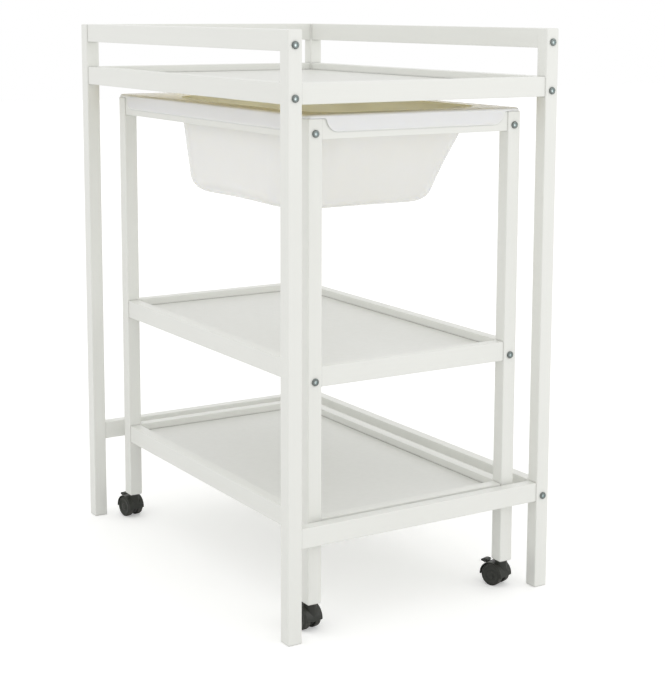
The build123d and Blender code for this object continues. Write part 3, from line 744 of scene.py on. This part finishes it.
# %% Back underneath to the drain
bent_under, lean_under, mouth_under = bowl_bend(under, plate_under, 0, BEND_OUTSIDE)
wall_under = bowl_wall(under, plate_under, BEND_OUTSIDE, lean_under, mouth_under, plate_under)
inward = steps(FLAT_ROWS)[:-1]
flat_under = polar(rim_reach(angles, SKIRT["thickness"]) * (1 - inward) + mouth_under * inward,
                   plate_under)
flat_under[..., 2] -= soap_dish(flat_under[..., 0], flat_under[..., 1])
outside = [flat_under, wall_under[::-1], bent_under[::-1],
           floor_rings(bent_under[0], under, 7)[::-1]]
bath_rings = np.concatenate(inside + [flat, edge, skirt_out, skirt_edge, skirt_in] + outside)
print("bath rings", bath_rings.shape, "from", round(bath_rings[..., 2].min(), 4), "to",
      round(bath_rings[..., 2].max(), 4))

# %% The bath as one piece
bath_shell = skin_of_rings("bath_shell", [(bath_rings, True)], bath_white, 50)
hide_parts("bathtub")
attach(bath_shell, "bath")
print("bath", len(bath_shell.data.polygons), "faces")

# %% [markdown]
# ## Bolts
#
# The long rails are held by zinc plated bolts whose button heads show on the short faces of the
# posts. A head is turned, so its profile is carried round an axis; only the socket is a
# hexagon, whose reach at an angle is the half width over flats divided by the cosine of the
# angle from the middle of the nearest flat. The places come from the posts and rails, so the
# heads always sit where the CAD has its bolts.


# %% Turned pieces
def turned(profile, origin, axis, around, flats=None):
    """Rings of points: origin + x * axis + r * (cos t * e1 + sin t * e2), one ring per (x, r).

    flats lists, per ring, a half width over flats, which makes that ring a hexagon instead."""
    axis = np.asarray(axis, float) / np.linalg.norm(axis)
    e1 = np.cross(axis, (0, 0, 1.0))
    e1 /= np.linalg.norm(e1)
    e2 = np.cross(axis, e1)
    t = np.linspace(0, 2 * math.pi, around, endpoint=False)
    x, r = (np.asarray(profile, float) * MM).T[:, :, None]
    if flats is not None:
        half = np.asarray(flats, float)[:, None] * MM
        hexagon = half / np.cos(np.mod(t, math.pi / 3) - math.pi / 6)
        r = np.where(half > 0, hexagon, r * np.ones_like(t))
    spoke = np.cos(t)[:, None] * e1 + np.sin(t)[:, None] * e2
    return np.asarray(origin, float) + x[:, :, None] * axis + (r * np.ones_like(t))[:, :, None] * spoke


def arc_profile(centre, radius, start, end, count):
    """Points (x, r) on an arc of a profile, angles in degrees from the axis direction."""
    a = np.radians(np.linspace(start, end, count))
    return list(zip(centre[0] + radius * np.cos(a), centre[1] + radius * np.sin(a)))


print("turning tools ready")

# %% Profile of a button-head bolt, in millimetres outwards from the post's face
head = [(-60, 2.6), (-59.4, 3), (-0.02, 3), (0, 6.0), (0.15, 6.2)]
head += arc_profile((1.4, 4.6), 1.6, 90, 12, 7)
head += [(3.0, 4.2), (3.0, 3.3), (2.75, 2.9), (2.55, 2.8), (0.9, 2.8), (0.75, 1.4)]
SOCKET_MOUTH, SOCKET = 2.62, 2.5
flats = [0] * (len(head) - 4) + [SOCKET_MOUTH, SOCKET, SOCKET, 0]
SOCKET_RINGS, AROUND_BOLT, BOLT_BELOW_MIDDLE = 3, 48, 0.007
print(len(head), "rings in a bolt")


# %% Where the bolts sit
def bolt_rings(posts, rails):
    """Ring stacks of the bolts where the named long rails meet their front and back posts."""
    stacks = []
    for rail in rails:
        low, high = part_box(rail)
        level = (low[2] + high[2]) / 2 - BOLT_BELOW_MIDDLE
        side = rail.rsplit("_", 1)[1]
        for end, sign in (("front", -1), ("back", 1)):
            post_low, post_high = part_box(posts + "_post_" + end + "_" + side)
            face = post_low[1] if end == "front" else post_high[1]
            origin = ((post_low[0] + post_high[0]) / 2, face, level)
            stacks.append((turned(head, origin, (0, sign, 0), AROUND_BOLT, flats), False))
    return stacks


stand_rails = ["guard_rail_left", "guard_rail_right", "tray_rail_left", "tray_rail_right",
               "low_rail_right"]
trolley_rails = [kind + "_rail_" + side for kind in ("top", "middle", "lower")
                 for side in ("left", "right")]
print("bolts through", len(stand_rails), "and", len(trolley_rails), "rails")

# %% The bolts of both frames
# The head's dark colour is a painted dark reflection and the socket floor's light colour a painted bright
# reflection on the zinc.
SOCKET_PAINTED_HIGHLIGHT = (0.58, 0.66, 0.66, 1)
zinc_bolt_painted_reflections, tree, shader = skinned("zinc_bolt_painted_reflections", (0.20, 0.225, 0.22, 1), 0.24, 1500.0, 0.10,
                                  cloud_tone=0.6, cloud_gloss=0.25)
shader.inputs["Metallic"].default_value = 1.0
in_socket = place(tree, "Attribute", attribute_name="socket").outputs["Fac"]
painted_dark_reflection = shader.inputs["Base Color"].links[0].from_socket
shaded = place(tree, "Mix", {0: in_socket, 6: painted_dark_reflection, 7: SOCKET_PAINTED_HIGHLIGHT}, data_type="RGBA")
tree.links.new(shaded.outputs[2], shader.inputs["Base Color"])


def make_bolts(name, node, body, stacks):
    """One object for all bolts of a frame, with an attribute that marks the sockets for their painted
    highlight.
    """
    piece = skin_of_rings(name, stacks, zinc_bolt_painted_reflections, 32)
    per_bolt = np.zeros((len(head), AROUND_BOLT))
    per_bolt[-SOCKET_RINGS:] = 1
    mask = np.tile(per_bolt.ravel(), len(stacks))
    piece.data.attributes.new("socket", "FLOAT", "POINT").data.foreach_set("value", mask)
    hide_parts(node)
    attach(piece, body)
    print(name, len(stacks), "bolts,", len(piece.data.polygons), "faces")


make_bolts("stand_button_bolts", "stand_bolts", "stand", bolt_rings("stand", stand_rails))
make_bolts("trolley_button_bolts", "trolley_bolts", "trolley", bolt_rings("trolley", trolley_rails))

# %% [markdown]
# ## Caster wheels
#
# Each caster has a pair of hard nylon wheels on one axle. A wheel is turned in its mould, so it
# is a profile round the axle: a crowned tread with a fine parting line, rounded shoulders, a
# groove, a dished web and a hub cap. The tread picks up grey dust from the floor, which an
# attribute on its points tells the material.

# %% Wheel profile in millimetres along the axle from the caster's middle
NEAR, FAR, TREAD, SHOULDER = 5.0, 17.0, 20.0, 2.5
parting = (NEAR + FAR) / 2
wheel = [(NEAR, 3.4), (NEAR, 9.0), (NEAR + 0.5, 9.6), (NEAR + 0.5, 14.8), (NEAR, 15.4), (NEAR, 17.2)]
wheel += arc_profile((NEAR + SHOULDER, TREAD - SHOULDER), SHOULDER, 168, 96, 6)
wheel += [(parting + x, TREAD - sink) for x, sink in
          ((-2.0, 0.04), (-0.2, 0), (-0.08, 0.1), (0.08, 0.1), (0.2, 0), (2.0, 0.04))]
wheel += arc_profile((FAR - SHOULDER, TREAD - SHOULDER), SHOULDER, 84, 8, 7)
wheel += [(FAR - sink, r) for sink, r in
          ((0, 17.0), (0, 16.75), (0.35, 16.55), (0.35, 16.2), (0.05, 16.0), (0.1, 15.2), (0.9, 12.9),
           (1.2, 12.0), (1.25, 7.1), (1.1, 6.6), (0.4, 6.3), (0.15, 5.7), (0.03, 3.8), (0, 1.2))]
wheel = np.array(wheel)
WEAR_BELOW, WEAR_BAND = 1.4, 1.2
tread_rows = np.clip((wheel[:, 1] - (TREAD - WEAR_BELOW)) / WEAR_BAND, 0, 1)
axle = [(-7.0, 2.9), (-6.9, 3.0), (6.9, 3.0), (7.0, 2.9)]
print(len(wheel), "rings in a wheel,", int((tread_rows > 0).sum()), "of them worn")

# %% Nylon that is grey with dust where it rolls
FLOOR_DUST = (0.20, 0.19, 0.17, 1)
worn_nylon, tree, shader = skinned("worn_nylon", NYLON_BLACK, 0.42, 900.0, 0.30, cloud_tone=0.25,
                                   cloud_gloss=0.15, edge_tone=0.5, dust_amount=0.10)
tread = place(tree, "Attribute", attribute_name="tread").outputs["Fac"]
where = place(tree, "TexCoord").outputs["Object"]
scuffs = place(tree, "TexNoise", {"Vector": where, "Scale": 260.0, "Detail": 5.0, "Roughness": 0.7})
worn = multiply(tree, tread, scuffs.outputs["Fac"])
clean = shader.inputs["Base Color"].links[0].from_socket
dusty = place(tree, "Mix", {0: multiply(tree, worn, 0.35), 6: clean, 7: FLOOR_DUST}, data_type="RGBA")
tree.links.new(dusty.outputs[2], shader.inputs["Base Color"])
smooth = shader.inputs["Roughness"].links[0].from_socket
tree.links.new(total(tree, smooth, multiply(tree, worn, 0.4)), shader.inputs["Roughness"])
print("worn nylon", len(tree.nodes), "nodes")

# %% Four pairs of wheels, each on the axle that its spin joint turns about
AROUND_WHEEL = 72
for joint in frame["joints"]:
    if not joint["name"].startswith("spin_"):
        continue
    corner = joint["name"].removeprefix("spin_")
    centre, axis = np.array(joint["pos_m"]), np.array(joint["axis"])
    stacks = [(turned(wheel * (side, 1), centre, axis, AROUND_WHEEL), False) for side in (-1, 1)]
    stacks.append((turned(axle, centre, axis, AROUND_WHEEL), False))
    pair = skin_of_rings("nylon_wheels_" + corner, stacks, worn_nylon, 40)
    mask = np.concatenate([np.repeat(tread_rows, AROUND_WHEEL)] * 2
                          + [np.zeros(len(axle) * AROUND_WHEEL)])
    pair.data.attributes.new("tread", "FLOAT", "POINT").data.foreach_set("value", mask)
    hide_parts("caster_wheels_" + corner)
    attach(pair, "wheels_" + corner)
    print(pair.name, len(pair.data.polygons), "faces")

# %% [markdown]
# ## White studio
#
# The photograph is a cut-out on pure white. The floor is a pale matt plane that keeps the
# table's soft shadow. Seen by the camera it also glows a little, which lifts it to white without
# putting any more light on the table. The world is white to the camera and to glossy rays, and a
# bit dimmer as a lamp. A large soft panel at the front right makes the short faces a little
# brighter than the long ones, and one overhead does the same for upward faces. A small warm panel
# under the changing board stands for the light that bounces many times between the raw board and
# the bath, which is what gives the gap above the bath its khaki tone in the photograph.

# %% Floor
HALF_FLOOR, FLOOR_GLOW = 14.0, 0.30
floor_mesh = bpy.data.meshes.new("studio_floor")
square = np.array([(-1, -1, 0), (1, -1, 0), (1, 1, 0), (-1, 1, 0)]) * HALF_FLOOR
floor_mesh.from_pydata(square.tolist(), [], [(0, 1, 2, 3)])
studio_floor = bpy.data.objects.new("studio_floor", floor_mesh)
bpy.context.scene.collection.objects.link(studio_floor)
floor_paint, tree, shader = start_material("floor_sweep")
shader.inputs["Base Color"].default_value = (0.90, 0.90, 0.89, 1)
shader.inputs["Roughness"].default_value = 0.9
shader.inputs["Specular IOR Level"].default_value = 0.0
camera_ray = place(tree, "LightPath").outputs["Is Camera Ray"]
glow = place(tree, "Emission", {"Color": (1, 1, 1, 1),
                                "Strength": multiply(tree, camera_ray, FLOOR_GLOW)})
lit = place(tree, "AddShader", {0: shader.outputs[0], 1: glow.outputs[0]})
tree.links.new(lit.outputs[0], tree.nodes["Material Output"].inputs["Surface"])
floor_mesh.materials.append(floor_paint)
print("floor ready")

# %% World
WORLD_LIGHT, WORLD_SEEN = 0.93, 1.0
world = bpy.data.worlds.new("white_studio")
world.use_nodes = True
bpy.context.scene.world = world
tree = world.node_tree
rays = place(tree, "LightPath").outputs
seen = rays["Is Camera Ray"]
for kind in ("Is Glossy Ray", "Is Transmission Ray"):
    seen = place(tree, "Math", {0: seen, 1: rays[kind]}, operation="MAXIMUM").outputs[0]
strength = place(tree, "MapRange", {"Value": seen, "To Min": WORLD_LIGHT, "To Max": WORLD_SEEN})
background = tree.nodes["Background"]
background.inputs["Color"].default_value = (1, 1, 1, 1)
tree.links.new(strength.outputs["Result"], background.inputs["Strength"])
print("world ready")


# %% Soft panels
TABLE_MIDDLE = Vector((0, 0, 0.5))


def soft_panel(name, at, size, power, tint=(1, 1, 1)):
    """An area lamp of a given width and depth that faces the table and stays out of the picture."""
    lamp = bpy.data.lights.new(name, "AREA")
    lamp.shape = "RECTANGLE"
    lamp.size, lamp.size_y = size
    lamp.energy = power
    lamp.color = tint
    holder = bpy.data.objects.new(name, lamp)
    away = Vector(at) - TABLE_MIDDLE
    holder.matrix_world = Matrix.Translation(at) @ away.to_track_quat("Z", "Y").to_matrix().to_4x4()
    holder.visible_camera = False
    bpy.context.scene.collection.objects.link(holder)
    return holder


soft_panel("front_panel", (2.0, -3.2, 1.5), (2.0, 2.0), 10)
soft_panel("top_panel", (0.0, 0.0, 3.6), (2.4, 2.4), 3)
tray_fill = soft_panel("tray_fill", (0.0, 0.0, 0.895), (0.34, 0.62), 1.15, (1.0, 0.95, 0.66))
tray_fill.visible_glossy = False
print("three panels")
